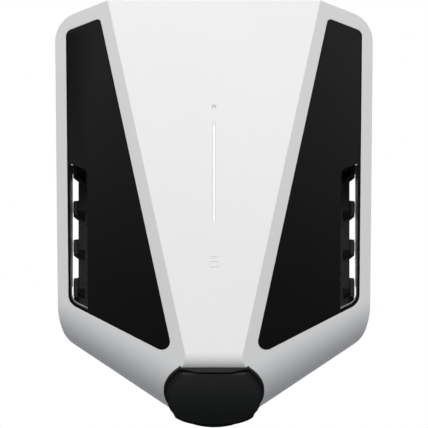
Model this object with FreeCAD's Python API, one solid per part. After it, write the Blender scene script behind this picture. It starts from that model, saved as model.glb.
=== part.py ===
import FreeCAD, Part
import math
import os

V = FreeCAD.Vector

# Outer cover, seen from the front: x to the right, z up, the wall is y = 0 and the front faces -y
TOP_Z = 127.3
BELLY_TIP_Z = -133.06
HALF_WIDTH_TOP = 96.5
HALF_WIDTH_LOW = HALF_WIDTH_TOP - 0.8
HALF_WIDTH_TOP_LEVEL = TOP_Z - 28.3
HALF_WIDTH_LOW_LEVEL = BELLY_TIP_Z + 86.06
TOP_FLAT_HALF = HALF_WIDTH_TOP - 32.5
SHOULDER_SLOPE = 17.2
SHOULDER_RADIUS = 17.0
BELLY_SLOPE = 31.27
BELLY_TIP_RADIUS = 48.6
HIP_RADIUS_LARGE = 46.0
HIP_RADIUS_SMALL = 18.0
HIP_TURN_LARGE = 20.0
COVER_REAR_GAP = 2.5
COVER_WALL = 2.6

# Front planes of the cover: depths are measured from the wall
PANEL_DEPTH_TOP = 78.0
PANEL_LEAN = 7.37
PANEL_HALF_TOP = HALF_WIDTH_TOP - 33.0
PANEL_HALF_LOW = 17.23
PANEL_LOW_Z = BELLY_TIP_Z + 51.86
FACET_EDGE_DEPTH = PANEL_DEPTH_TOP - 37.0
BELLY_ROLL_SIDE = 34.0
BELLY_ROLL_MIDDLE = 44.0

# Dark windows in the two side facets, given by their corners and corner radii
WINDOW_OUTER_X = HALF_WIDTH_TOP - 6.8
WINDOW_OUTER_LOW_X = HALF_WIDTH_TOP - 7.7
WINDOW_TOP_OUTER_Z = TOP_Z - 16.7
WINDOW_TOP_INNER_X = PANEL_HALF_TOP + 4.75
WINDOW_TOP_INNER_Z = TOP_Z - 10.1
WINDOW_LOW_INNER_X = PANEL_HALF_LOW + 6.67
WINDOW_LOW_INNER_Z = BELLY_TIP_Z + 48.56
WINDOW_LOW_OUTER_Z = BELLY_TIP_Z + 78.56
WINDOW_RADII = (4.5, 2.2, 5.2, 8.0)
WINDOW_GAP = 0.25
WINDOW_RECESS = 0.4

# Air duct beside the electronics unit, open from the window through to the wall
DUCT_TOP_Z = 30.5
DUCT_LOW_Z = BELLY_TIP_Z + 75.06
DUCT_OUTER_X = HALF_WIDTH_TOP - 9.0
DUCT_INNER_X = DUCT_OUTER_X - 10.9
DUCT_WALL = 1.8
DUCT_CORNER = 7.0
DUCT_SLANT = 4.0
DUCT_FOOT = 13.0
DUCT_FOOT_SLOPE = 24.8
RIB_LEVELS = (17.6, 12.2, -6.7, -12.2, -17.6, -36.5, -42.0, -47.8)
RIB_HEIGHT = 1.0
RIB_REACH = 0.9

# Electronics unit under the cover
UNIT_GAP = 0.4
UNIT_WALL = 2.4
BOSS_WALL = 1.8
UNIT_REAR_DEPTH = 22.0
REAR_COVER_DEPTH = 24.0
REAR_COVER_THICKNESS = 2.5
FIT_GAP = 0.3

# Back plate that is screwed to the wall
PLATE_INSET = 9.0
PLATE_THICKNESS = 3.0
PLATE_RIM_HEIGHT = 12.0
PLATE_RIM_WALL = 2.6
NOTCH_PITCH = 23.9
NOTCH_TOP_Z = 22.6
NOTCH_HEIGHT = 14.8
NOTCH_DEPTH = 3.5
NOTCH_LEDGE = 1.6
NOTCH_SLANT = 2.8
GUSSET_RISE = 3.0
GUSSET_REACH = 5.8
GUSSET_HEIGHT = 7.0
SCREW_SPACING_X = 116.0
SCREW_SPACING_Z = 120.0
SCREW_LOW_Z = -42.0
SCREW_HOLE_DIAMETER = 5.5
CHAMBER_HALF_WIDTH = 48.0
CHAMBER_CORNER = 8.0
CHAMBER_TOP_Z = TOP_Z - 23.3
CHAMBER_WALL = 2.2
CHAMBER_WALL_HEIGHT = 20.0
CABLE_Z = CHAMBER_TOP_Z - 18.0
CLAMP_Z = CABLE_Z - 24.0
TERMINAL_Z = CLAMP_Z - 38.0
CONNECTOR_Z = TERMINAL_Z - 32.0
CHAMBER_LOW_Z = CONNECTOR_Z - 22.0
CABLE_DIAMETER = 14.0
CABLE_HOLE_DIAMETER = 24.0
SIGNAL_X = 30.0
SIGNAL_HOLE_DIAMETER = 12.0
GROMMET_LENGTH = 8.0

# Pieces in the wiring chamber
POLES = 5
POLE_PITCH = 11.0
TERMINAL_HEIGHT = 15.0
CLAMP_HALF = 18.0
CLAMP_HEIGHT = 10.0
CONNECTOR_HALF = 30.0
CONNECTOR_HEIGHT = 16.0
CONNECTOR_SEAT = 15.0

# Pieces inside the electronics unit
BOARD_DEPTH = 34.0
BOARD_THICKNESS = 1.6
BOARD_HALF = DUCT_INNER_X - 24.6
BOARD_TOP_Z = TOP_Z - 27.3
BOARD_LOW_Z = BELLY_TIP_Z + 93.06
BOARD_SCREW_X = BOARD_HALF - 6.0
BOARD_SCREW_TOP_Z = BOARD_TOP_Z - 6.0
BOARD_SCREW_LOW_Z = BOARD_LOW_Z + 6.0
BOARD_SCREW_DIAMETER = 3.0
REAR_SCREW_DIAMETER = 3.5
REAR_SCREW_X = DUCT_INNER_X - 10.6
REAR_SCREW_TOP_Z = TOP_Z - 27.3
REAR_SCREW_MIDDLE_Z = 10.0
REAR_SCREW_LOW_X = REAR_SCREW_X - 2.0
REAR_SCREW_LOW_Z = BELLY_TIP_Z + 71.06
FIXING_X = 46.0
FIXING_Z = BELLY_TIP_Z + 49.06
FIXING_DIAMETER = 5.0
FIXING_HEAD = 8.5
FIXING_SEAT = 27.0
RELAYS = 4
RELAY_PITCH = 22.0
RELAY_HEIGHT = 16.0
RELAY_Z = 40.0
SENSOR_Z = 4.0
SENSOR_RADIUS = 14.0
SENSOR_BORE = 15.0
SENSOR_HEIGHT = 14.0
CONTROL_HALF = 14.0
CONTROL_TOP = 72.0
CONTROL_LOW = -12.0

# Socket at the lower tip, its axis pointing down and forward
SOCKET_DEPTH = PANEL_DEPTH_TOP + 7.0
SOCKET_Z = BELLY_TIP_Z + 27.56
SOCKET_TILT = 48.7
MOUTH_ROLL = 10.7
OPENING_RADIUS = 26.0
OPENING_FLAT = 18.5
SOCKET_WALL = 1.6
SOCKET_LENGTH = 44.0
COLLAR_RADIUS = 29.9
COLLAR_FLAT = 22.4
COLLAR_SEAT = -1.0
COLLAR_THICKNESS = 1.2
COLLAR_SEAL = 0.5
INSERT_RADIUS = 20.3
INSERT_FLAT = 12.9
INSERT_RECESS = 4.0
INSERT_BASE = 3.0
POWER_CONTACT_BORE = 6.1
POWER_CONTACT_OUTER = 8.0
SIGNAL_CONTACT_BORE = 3.1
SIGNAL_CONTACT_OUTER = 4.8
CONTACT_LENGTH = 40.0
CONTACT_GAP = 0.1
CONTACT_SIDE_X = 14.6
CONTACT_LOW_X = 8.4
CONTACT_LOW_Y = 12.2
CONTACT_SIGNAL_X = 6.4
CONTACT_SIGNAL_Y = 9.2

# Flap over the socket, hinged along its flat top edge
FLAP_RADIUS = 27.6
FLAP_FLAT = 20.0
FLAP_GAP = 0.3
FLAP_CROWN_RADIUS = 80.0
FLAP_CROWN_HEIGHT = 6.4
CROWN_CENTRE = -4.0
LIP_TOP_X = 24.3
LIP_CORNER_X = 23.3
LIP_CORNER_Y = -17.8
LIP_REACH = 30.5
LIP_THICKNESS = 2.9
HINGE_RADIUS = 1.35
HINGE_PIN_RADIUS = 0.6
HINGE_FIT = 0.07
HINGE_PIN_HALF = 17.0
KNUCKLE_HALF = 8.0
KNUCKLE_RADIUS = 1.0
HINGE_WEB = 1.0
HINGE_WEB_TOP = 0.45
HOOD_LOW = 21.5
HOOD_HEIGHT = 2.9
HOOD_HALF_TOP = 9.8
HOOD_HALF_LOW = 20.3
SPRING_HALF = 4.5
SPRING_WIRE = 0.4
SPRING_RADIUS = 0.85
SPRING_TURNS = 6

# Locking pin that holds the plug
LOCK_DISTANCE = 26.0
LOCK_PIN_RADIUS = 2.4
LOCK_STROKE = 4.6
LOCK_FIT = 0.08
LOCK_BOSS_HEIGHT = 6.0
ACTUATOR_HALF = 13.0
ACTUATOR_HALF_DEPTH = 7.0
ACTUATOR_HEIGHT = 10.5

# Light bar and sensor lens on the middle panel
LIGHT_TOP = 54.4
LIGHT_LOW = -4.6
LIGHT_WIDTH = 1.7
LENS_HEIGHT = 64.1
LENS_DIAMETER = 2.4
LIGHT_PIECE_DEPTH = 7.2

# Generic card sign pressed into the panel below the light bar
SIGN_DEPTH = 0.15
SIGN_LINE = 0.45
SIGN_CARD_WIDTH = 5.8
SIGN_CARD_HEIGHT = 3.8
SIGN_CARD_LEVEL = -30.4
SIGN_ARC_LEVEL = -28.2
SIGN_ARC_RADII = (1.6, 2.8)


def line(a, b):
    return Part.LineSegment(a, b).toShape()


def arc(a, b, c):
    return Part.Arc(a, b, c).toShape()


def rounded_face(corners, plane):
    """Face of a polygon whose corners (p, q, radius) are rounded; plane maps p, q to space."""
    count = len(corners)
    edges = []
    starts = []
    ends = []
    middles = []
    for index in range(count):
        p, q, radius = corners[index]
        before = corners[index - 1]
        after = corners[(index + 1) % count]
        here = V(p, q, 0)
        back = V(before[0], before[1], 0).sub(here).normalize()
        ahead = V(after[0], after[1], 0).sub(here).normalize()
        half = back.getAngle(ahead) / 2
        if radius <= 0:
            starts.append(here)
            ends.append(here)
            middles.append(None)
            continue
        reach = radius / math.tan(half)
        bisector = back.add(ahead).normalize()
        centre = here.add(bisector * (radius / math.sin(half)))
        starts.append(here.add(back * reach))
        ends.append(here.add(ahead * reach))
        middles.append(centre.sub(bisector * radius))
    for index in range(count):
        if middles[index] is not None:
            edges.append(arc(plane(starts[index]), plane(middles[index]), plane(ends[index])))
        following = (index + 1) % count
        if starts[following].distanceToPoint(ends[index]) > 1e-6:
            edges.append(line(plane(ends[index]), plane(starts[following])))
    return Part.Face(Part.Wire(edges))


def front_plane(point):
    return V(point.x, 0, point.y)


def panel_depth(z):
    return PANEL_DEPTH_TOP + math.tan(math.radians(PANEL_LEAN)) * (TOP_Z - z)


def half_space(point, normal, size=600.0):
    """Block that fills the side of a plane that its normal points away from."""
    block = Part.makeBox(size, size, size, V(-size / 2, -size / 2, -size))
    block.Placement = FreeCAD.Placement(point, FreeCAD.Rotation(V(0, 0, 1), normal))
    return block


def panel_normal():
    lean = math.radians(PANEL_LEAN)
    return V(0, -math.cos(lean), math.sin(lean))


def facet_normal(side):
    top = V(side * PANEL_HALF_TOP, -panel_depth(TOP_Z), TOP_Z)
    low = V(side * PANEL_HALF_LOW, -panel_depth(PANEL_LOW_Z), PANEL_LOW_Z)
    edge = V(side * HALF_WIDTH_TOP, -FACET_EDGE_DEPTH, HALF_WIDTH_TOP_LEVEL)
    normal = low.sub(top).cross(edge.sub(top)).normalize()
    if normal.y > 0:
        normal = normal * -1
    return normal


def belly_normal(side):
    slope = math.radians(BELLY_SLOPE)
    return V(side * math.sin(slope), 0, -math.cos(slope))


def outline_edges(inset):
    """Edges of the cover's outline in the wall plane, moved inward by inset."""
    taper = math.atan2(HALF_WIDTH_TOP - HALF_WIDTH_LOW, HALF_WIDTH_TOP_LEVEL - HALF_WIDTH_LOW_LEVEL)
    shoulder = math.radians(SHOULDER_SLOPE)
    belly = math.radians(BELLY_SLOPE)
    side_normal = V(math.cos(taper), -math.sin(taper), 0)
    side_point = V(HALF_WIDTH_TOP, HALF_WIDTH_TOP_LEVEL, 0).sub(side_normal * inset)
    side_direction = V(-math.sin(taper), -math.cos(taper), 0)
    top = TOP_Z - inset
    shoulder_normal = V(math.sin(shoulder), math.cos(shoulder), 0)
    shoulder_point = V(TOP_FLAT_HALF, TOP_Z, 0).sub(shoulder_normal * inset)
    shoulder_direction = V(math.cos(shoulder), -math.sin(shoulder), 0)
    top_corner = crossing(V(0, top, 0), V(1, 0, 0), shoulder_point, shoulder_direction)
    corner = crossing(shoulder_point, shoulder_direction, side_point, side_direction)
    radius = SHOULDER_RADIUS - inset
    half = (math.pi - (math.pi / 2 - shoulder + taper)) / 2
    reach = radius / math.tan(half)
    arc_start = corner.sub(shoulder_direction * reach)
    arc_end = corner.add(side_direction * reach)
    centre = arc_start.sub(shoulder_normal * radius)
    arc_middle = centre.add(corner.sub(centre).normalize() * radius)
    large = HIP_RADIUS_LARGE - inset
    small = HIP_RADIUS_SMALL - inset
    turn = math.radians(HIP_TURN_LARGE)
    belly_outward = V(math.sin(belly), -math.cos(belly), 0)
    second_normal = rotate(side_normal, -turn)
    step = second_normal.sub(side_normal) * large
    step = step.add(belly_outward.sub(second_normal) * small)
    tip = V(0, BELLY_TIP_Z, 0).sub(belly_outward * inset)
    distance = tip.sub(side_point.add(step)).dot(belly_outward) / side_direction.dot(belly_outward)
    hip_start = side_point.add(side_direction * distance)
    large_centre = hip_start.sub(side_normal * large)
    hip_join = large_centre.add(second_normal * large)
    hip_middle = large_centre.add(rotate(side_normal, -turn / 2) * large)
    small_centre = hip_join.sub(second_normal * small)
    hip_end = small_centre.add(belly_outward * small)
    mean = second_normal.add(belly_outward).normalize()
    small_middle = small_centre.add(mean * small)
    tip_radius = BELLY_TIP_RADIUS - inset
    apex = V(0, BELLY_TIP_Z + inset / math.cos(belly), 0)
    tip_centre = V(0, apex.y + tip_radius / math.cos(belly), 0)
    tip_start = tip_centre.add(belly_outward * tip_radius)
    tip_low = V(0, tip_centre.y - tip_radius, 0)
    right = [("line", top_corner, arc_start), ("arc", arc_start, arc_middle, arc_end),
             ("line", arc_end, hip_start), ("arc", hip_start, hip_middle, hip_join),
             ("arc", hip_join, small_middle, hip_end), ("line", hip_end, tip_start)]
    edges = [line(mirrored(top_corner), front_plane(top_corner))]
    for piece in right:
        points = [front_plane(point) for point in piece[1:]]
        edges.append(line(*points) if piece[0] == "line" else arc(*points))
    edges.append(arc(front_plane(tip_start), front_plane(tip_low), mirrored(tip_start)))
    for piece in reversed(right):
        points = [mirrored(point) for point in reversed(piece[1:])]
        edges.append(line(*points) if piece[0] == "line" else arc(*points))
    return edges


def crossing(a, along_a, b, along_b):
    """Point where two lines of the outline plane meet."""
    normal = V(along_b.y, -along_b.x, 0)
    distance = b.sub(a).dot(normal) / along_a.dot(normal)
    return a.add(along_a * distance)


def rotate(vector, angle):
    return V(vector.x * math.cos(angle) - vector.y * math.sin(angle),
             vector.x * math.sin(angle) + vector.y * math.cos(angle), 0)


def mirrored(point):
    return V(-point.x, 0, point.y)


def belly_roll(side, inset):
    """Block with one long rounded edge that turns the side facet into the belly wall."""
    facet = facet_normal(side)
    belly = belly_normal(side)
    along = facet.cross(belly).normalize()
    if along.y > 0:
        along = along * -1
    tip = V(0, 0, BELLY_TIP_Z).sub(belly * inset)
    panel_point = V(side * PANEL_HALF_LOW, -panel_depth(PANEL_LOW_Z), PANEL_LOW_Z).sub(facet * inset)
    start = edge_point(facet, panel_point, belly, tip, -FACET_EDGE_DEPTH / 2)
    finish = edge_point(facet, panel_point, belly, tip, -SOCKET_DEPTH)
    span = finish.sub(start)
    wires = []
    for share in (-0.5, 1.25):
        centre = start.add(span * share)
        radius = BELLY_ROLL_SIDE + (BELLY_ROLL_MIDDLE - BELLY_ROLL_SIDE) * share - inset
        wires.append(roll_section(centre, facet, belly, radius))
    return Part.makeLoft(wires, True, True)


def edge_point(normal_a, point_a, normal_b, point_b, y):
    """Point on the line where two planes meet, at a given depth."""
    a = normal_a.dot(point_a) - normal_a.y * y
    b = normal_b.dot(point_b) - normal_b.y * y
    det = normal_a.x * normal_b.z - normal_a.z * normal_b.x
    return V((a * normal_b.z - b * normal_a.z) / det, y, (normal_a.x * b - normal_b.x * a) / det)


def roll_section(corner, normal_a, normal_b, radius, clear=6.0):
    """Closed outline of what a rounded edge of this radius takes off the corner of two planes."""
    along = normal_a.cross(normal_b).normalize()
    on_a = along.cross(normal_a)
    if on_a.dot(normal_b) > 0:
        on_a = on_a * -1
    on_b = along.cross(normal_b)
    if on_b.dot(normal_a) > 0:
        on_b = on_b * -1
    half = (math.pi - normal_a.getAngle(normal_b)) / 2
    reach = radius / math.tan(half)
    bisector = normal_a.add(normal_b).normalize()
    centre = corner.sub(bisector * (radius / math.sin(half)))
    start = corner.add(on_a * reach)
    end = corner.add(on_b * reach)
    out_a = start.add(normal_a * clear)
    out_b = end.add(normal_b * clear)
    peak = corner.add(bisector * (clear / math.sin(half)))
    edges = [arc(start, centre.add(bisector * radius), end), line(end, out_b)]
    edges += [line(out_b, peak), line(peak, out_a), line(out_a, start)]
    return Part.Wire(edges)


def socket_axis():
    tilt = math.radians(SOCKET_TILT)
    return V(0, -math.cos(tilt), -math.sin(tilt))


def place(shape, origin, up, outward):
    """Carries a shape from its own frame (x across, y up, z outward) to its place on the box."""
    across = up.cross(outward)
    matrix = FreeCAD.Matrix(across.x, up.x, outward.x, origin.x, across.y, up.y, outward.y, origin.y,
                            across.z, up.z, outward.z, origin.z, 0, 0, 0, 1)
    placed = shape.copy()
    placed.Placement = FreeCAD.Placement(matrix).multiply(placed.Placement)
    return placed


def on_socket(shape):
    tilt = math.radians(SOCKET_TILT)
    origin = V(0, -SOCKET_DEPTH, SOCKET_Z)
    return place(shape, origin, V(0, -math.sin(tilt), math.cos(tilt)), socket_axis())


def on_panel(shape):
    lean = math.radians(PANEL_LEAN)
    up = V(0, math.sin(lean), math.cos(lean))
    return place(shape, V(0, -panel_depth(0), 0), up, panel_normal())


def mouth_roll(inset):
    """Wedge that rounds the lower edge of the panel into the socket face."""
    panel = panel_normal()
    axis = socket_axis()
    on_panel_point = V(0, -panel_depth(0), 0).sub(panel * inset)
    on_socket_point = V(0, -SOCKET_DEPTH, SOCKET_Z).sub(axis * inset)
    a = panel.dot(on_panel_point)
    b = axis.dot(on_socket_point)
    det = panel.y * axis.z - panel.z * axis.y
    corner = V(-120, (a * axis.z - b * panel.z) / det, (panel.y * b - axis.y * a) / det)
    section = roll_section(corner, panel, axis, MOUTH_ROLL - inset)
    return Part.Face(section).extrude(V(240, 0, 0))


def cover_form(inset):
    """Outer form of the cover, moved inward by inset on every face."""
    outline = Part.Face(Part.Wire(outline_edges(inset)))
    body = outline.extrude(V(0, -200, 0))
    panel_point = V(0, -panel_depth(TOP_Z), TOP_Z)
    normal = panel_normal()
    body = body.common(half_space(panel_point.sub(normal * inset), normal))
    for side in (-1, 1):
        facet = facet_normal(side)
        point = V(side * PANEL_HALF_LOW, -panel_depth(PANEL_LOW_Z), PANEL_LOW_Z)
        body = body.common(half_space(point.sub(facet * inset), facet))
    for side in (-1, 1):
        body = body.cut(belly_roll(side, inset))
    axis = socket_axis()
    centre = V(0, -SOCKET_DEPTH, SOCKET_Z)
    body = body.common(half_space(centre.sub(axis * inset), axis))
    body = body.cut(mouth_roll(inset))
    return body


def slab(near, far, size=300.0):
    """Everything between two depths from the wall."""
    return Part.makeBox(size, far - near, size, V(-size / 2, -far, -size / 2))


def block(x0, x1, depth0, depth1, z0, z1):
    """Box given by x, depth from the wall and z."""
    return Part.makeBox(x1 - x0, depth1 - depth0, z1 - z0, V(x0, -depth1, z0))


def on_side(side, shape):
    """Shape made for the right side, or its mirror image on the left."""
    if side < 0:
        return shape.mirror(V(0, 0, 0), V(1, 0, 0))
    return shape


def prism(face, depth0, depth1):
    """Face of the front outline plane, carried from one depth to another."""
    solid = face.copy()
    solid.translate(V(0, -depth0, 0))
    return solid.extrude(V(0, -(depth1 - depth0), 0))


def side_face(side, corners):
    """Rounded polygon on the right side, or its mirror image on the left."""
    flipped = [(side * x, z, radius) for x, z, radius in corners]
    return rounded_face(flipped, front_plane)


def window_face(side, inset):
    """Outline of a dark side window, seen from the front."""
    corners = [(WINDOW_OUTER_X, WINDOW_TOP_OUTER_Z), (WINDOW_TOP_INNER_X, WINDOW_TOP_INNER_Z),
               (WINDOW_LOW_INNER_X, WINDOW_LOW_INNER_Z), (WINDOW_OUTER_LOW_X, WINDOW_LOW_OUTER_Z)]
    moved = inset_polygon(corners, inset)
    rounded = [(p, q, radius - inset) for (p, q), radius in zip(moved, WINDOW_RADII)]
    return side_face(side, rounded)


def inset_polygon(corners, inset):
    """Convex polygon with each side moved inward by the same distance."""
    count = len(corners)
    middle = V(sum(c[0] for c in corners) / count, sum(c[1] for c in corners) / count, 0)
    lines = []
    for index in range(count):
        start = V(corners[index][0], corners[index][1], 0)
        end = V(corners[(index + 1) % count][0], corners[(index + 1) % count][1], 0)
        along = end.sub(start).normalize()
        normal = V(-along.y, along.x, 0)
        if normal.dot(middle.sub(start)) < 0:
            normal = normal * -1
        lines.append((start.add(normal * inset), along))
    moved = []
    for index in range(count):
        before = lines[index - 1]
        here = lines[index]
        point = crossing(before[0], before[1], here[0], here[1])
        moved.append((point.x, point.y))
    return moved


def duct_face(side, inset):
    """Outline of the air duct seen from the front: slanted at its top and rounded at its foot."""
    outer = DUCT_OUTER_X - inset
    inner = DUCT_INNER_X + inset
    belly = math.tan(math.radians(DUCT_FOOT_SLOPE))
    low_outer = DUCT_LOW_Z + inset
    corners = [(outer, DUCT_TOP_Z - inset, 0.6), (inner, DUCT_TOP_Z - DUCT_SLANT - inset, 4.0),
               (inner, low_outer, 0.6), (outer, low_outer + (outer - inner) * belly, DUCT_CORNER)]
    return side_face(side, corners)


def d_face(radius, flat, at=0.0):
    """D-shaped face in the socket's frame: a circle cut flat at its top."""
    half = math.sqrt(radius * radius - flat * flat)
    edges = [arc(V(-half, flat, at), V(0, -radius, at), V(half, flat, at))]
    edges.append(line(V(half, flat, at), V(-half, flat, at)))
    return Part.Face(Part.Wire(edges))


def d_prism(radius, flat, low, high):
    return d_face(radius, flat, low).extrude(V(0, 0, high - low))


def rod(radius, base, direction, length):
    return Part.makeCylinder(radius, length, base, direction)


def fuse_all(shapes):
    solid = shapes[0]
    if len(shapes) > 1:
        solid = solid.multiFuse(shapes[1:])
    return solid.removeSplitter()


def cut_all(shape, tools):
    for tool in tools:
        shape = shape.cut(tool)
    return shape


def light_slot(grow, low, high):
    """Bar with round ends in the panel's frame."""
    half = LIGHT_WIDTH / 2 + grow
    top = LIGHT_TOP - LIGHT_WIDTH / 2
    bottom = LIGHT_LOW + LIGHT_WIDTH / 2
    bar = Part.makeBox(2 * half, top - bottom, high - low, V(-half, bottom, low))
    for level in (top, bottom):
        bar = bar.fuse(rod(half, V(0, level, low), V(0, 0, 1), high - low))
    return bar.removeSplitter()


def lens_hole(grow, low, high):
    return rod(LENS_DIAMETER / 2 + grow, V(0, LENS_HEIGHT, low), V(0, 0, 1), high - low)


def card_sign():
    """Outline of a plain card with two short arcs above it, in the panel's frame."""
    def plate(width, height, level):
        corners = [(-width / 2, level - height / 2, 0.8), (width / 2, level - height / 2, 0.8),
                   (width / 2, level + height / 2, 0.8), (-width / 2, level + height / 2, 0.8)]
        face = rounded_face(corners, lambda point: V(point.x, point.y, -SIGN_DEPTH))
        return face.extrude(V(0, 0, 1 + SIGN_DEPTH))
    inner = plate(SIGN_CARD_WIDTH - 2 * SIGN_LINE, SIGN_CARD_HEIGHT - 2 * SIGN_LINE, SIGN_CARD_LEVEL)
    marks = [plate(SIGN_CARD_WIDTH, SIGN_CARD_HEIGHT, SIGN_CARD_LEVEL).cut(inner)]
    reach = 2 * SIGN_ARC_RADII[-1]
    corners = [V(0, SIGN_ARC_LEVEL, -1), V(reach, SIGN_ARC_LEVEL + reach, -1),
               V(-reach, SIGN_ARC_LEVEL + reach, -1)]
    wedge = Part.Face(Part.makePolygon(corners + corners[:1])).extrude(V(0, 0, 3))
    for radius in SIGN_ARC_RADII:
        base = V(0, SIGN_ARC_LEVEL, -SIGN_DEPTH)
        ring = rod(radius + SIGN_LINE / 2, base, V(0, 0, 1), 1 + SIGN_DEPTH)
        marks.append(ring.cut(rod(radius - SIGN_LINE / 2, base, V(0, 0, 1), 1 + SIGN_DEPTH)).common(wedge))
    return [on_panel(mark) for mark in marks]


def front_cover():
    """White shell with its two windows, the mouth for the socket and the walls of its air ducts."""
    outer = cover_form(0)
    inner = cover_form(COVER_WALL)
    shell = outer.cut(inner).common(slab(COVER_REAR_GAP, 200))
    pieces = [shell]
    beyond = HALF_WIDTH_TOP + 3.5
    for side in (-1, 1):
        duct = prism(duct_face(side, -DUCT_WALL), COVER_REAR_GAP, 90)
        duct = duct.cut(prism(duct_face(side, 0), 0, 100))
        keep = block(DUCT_OUTER_X - 0.3, beyond, 0, 100, DUCT_LOW_Z - 6, DUCT_TOP_Z - 0.4)
        keep = keep.fuse(block(DUCT_INNER_X, beyond, 0, 100, DUCT_LOW_Z - 6, DUCT_LOW_Z + DUCT_FOOT))
        over_plate = block(0, beyond, 0, PLATE_RIM_HEIGHT + 1, DUCT_LOW_Z - 6, DUCT_LOW_Z + DUCT_FOOT)
        keep = keep.cut(over_plate)
        inner_form = cover_form(UNIT_GAP + COVER_WALL + UNIT_WALL + FIT_GAP)
        duct = duct.common(on_side(side, keep)).common(inner_form)
        pieces.append(duct)
        for level in (DUCT_TOP_Z - 8, -30.0):
            web = block(DUCT_OUTER_X + 0.8, HALF_WIDTH_TOP - 1, COVER_REAR_GAP, 20, level, level + 1.8)
            pieces.append(on_side(side, web))
    shell = fuse_all(pieces)
    tools = [prism(window_face(side, 0), 12, 120).common(cover_form(-5).cut(cover_form(COVER_WALL + 0.1)))
             for side in (-1, 1)]
    tools.append(on_socket(d_prism(OPENING_RADIUS + SOCKET_WALL + FIT_GAP,
                                   OPENING_FLAT + SOCKET_WALL + FIT_GAP, -COVER_WALL - 2, 2)))
    tools.append(on_socket(d_prism(COLLAR_RADIUS + FIT_GAP, COLLAR_FLAT + FIT_GAP,
                                   COLLAR_SEAT - COLLAR_SEAL, 3)))
    tools.append(on_panel(light_slot(0.05, -COVER_WALL - 1, 1)))
    tools.append(on_panel(lens_hole(0.05, -COVER_WALL - 1, 1)))
    return cut_all(shell, tools + card_sign())


def unit_front():
    """Black front shell of the electronics unit, with the raised pads that fill the windows."""
    gap = COVER_WALL + UNIT_GAP
    behind = slab(UNIT_REAR_DEPTH, 200)
    outer = cover_form(gap)
    inner = cover_form(gap + UNIT_WALL)
    pieces = [outer.cut(inner).common(behind)]
    skin = cover_form(WINDOW_RECESS).cut(cover_form(gap + UNIT_WALL / 2)).common(behind)
    for side in (-1, 1):
        pieces.append(skin.common(prism(window_face(side, WINDOW_GAP), 12, 120)))
        wall = prism(duct_face(side, -UNIT_WALL), UNIT_REAR_DEPTH, 90).common(outer)
        keep = block(DUCT_INNER_X - UNIT_WALL - 1, DUCT_OUTER_X, 0, 100, DUCT_LOW_Z, DUCT_TOP_Z + 5)
        pieces.append(wall.common(on_side(side, keep)))
        foot = duct_face(side, -DUCT_WALL - FIT_GAP - UNIT_WALL)
        keep = block(DUCT_INNER_X - UNIT_WALL - 1, DUCT_OUTER_X, 0, 100,
                     DUCT_LOW_Z - 9, DUCT_LOW_Z + DUCT_FOOT)
        pieces.append(prism(foot, UNIT_REAR_DEPTH, 90).common(outer).common(on_side(side, keep)))
    for x, z in rear_screw_places():
        foot = V(x, -REAR_COVER_DEPTH - REAR_COVER_THICKNESS - FIT_GAP, z)
        boss = rod(REAR_SCREW_DIAMETER, foot, V(0, -1, 0), 90)
        pieces.append(boss.common(cover_form(gap + UNIT_WALL / 2)))
    for x, z in fixing_places():
        tube = rod(FIXING_HEAD / 2 + BOSS_WALL, V(x, -UNIT_REAR_DEPTH, z), V(0, -1, 0), 90)
        pieces.append(tube.common(cover_form(gap + UNIT_WALL / 2)))
    shell = fuse_all(pieces)
    tools = [prism(duct_face(side, 0), 0, 120) for side in (-1, 1)]
    for side in (-1, 1):
        wall_room = prism(duct_face(side, -DUCT_WALL - FIT_GAP), 0, 120)
        keep = block(DUCT_OUTER_X - 1, HALF_WIDTH_TOP, 0, 100, DUCT_LOW_Z - 8, DUCT_TOP_Z)
        keep = keep.fuse(block(DUCT_INNER_X, HALF_WIDTH_TOP, 0, 100, DUCT_LOW_Z - 8, DUCT_LOW_Z + DUCT_FOOT))
        tools.append(wall_room.common(on_side(side, keep)).common(cover_form(gap + UNIT_WALL)))
    radius = OPENING_RADIUS + SOCKET_WALL + FIT_GAP
    tools.append(on_socket(d_prism(radius, OPENING_FLAT + SOCKET_WALL + FIT_GAP, -30, 5)))
    tools.append(on_panel(light_slot(0.05, -12, 1)))
    tools.append(on_panel(lens_hole(0.05, -12, 1)))
    for x, z in rear_screw_places():
        tools.append(rod(REAR_SCREW_DIAMETER / 2 + 0.02, V(x, -REAR_COVER_DEPTH, z), V(0, -1, 0), 14))
    for x, z in fixing_places():
        tools.append(rod(FIXING_DIAMETER / 2 + 0.25, V(x, -UNIT_REAR_DEPTH + 1, z), V(0, -1, 0), 20))
        tools.append(rod(FIXING_HEAD / 2 + 0.3, V(x, -FIXING_SEAT, z), V(0, -1, 0), 90))
    ribs = [duct_rib(side, level) for side in (-1, 1) for level in RIB_LEVELS]
    return fuse_all([cut_all(shell, tools)] + ribs)


def duct_rib(side, level):
    """Small rib on the unit's wall inside the air duct."""
    rib = block(DUCT_INNER_X - UNIT_WALL / 2, DUCT_INNER_X + RIB_REACH, UNIT_REAR_DEPTH, 90,
                level - RIB_HEIGHT / 2, level + RIB_HEIGHT / 2)
    return on_side(side, rib).common(cover_form(COVER_WALL + UNIT_GAP + 1))


def fixing_places():
    return [(-FIXING_X, FIXING_Z), (FIXING_X, FIXING_Z)]


def unit_fixing_screws():
    return screws(fixing_places(), FIXING_SEAT, 1, diameter=FIXING_DIAMETER, head=FIXING_HEAD,
                  head_height=3.2, length=FIXING_SEAT - PLATE_THICKNESS - 2)


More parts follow.
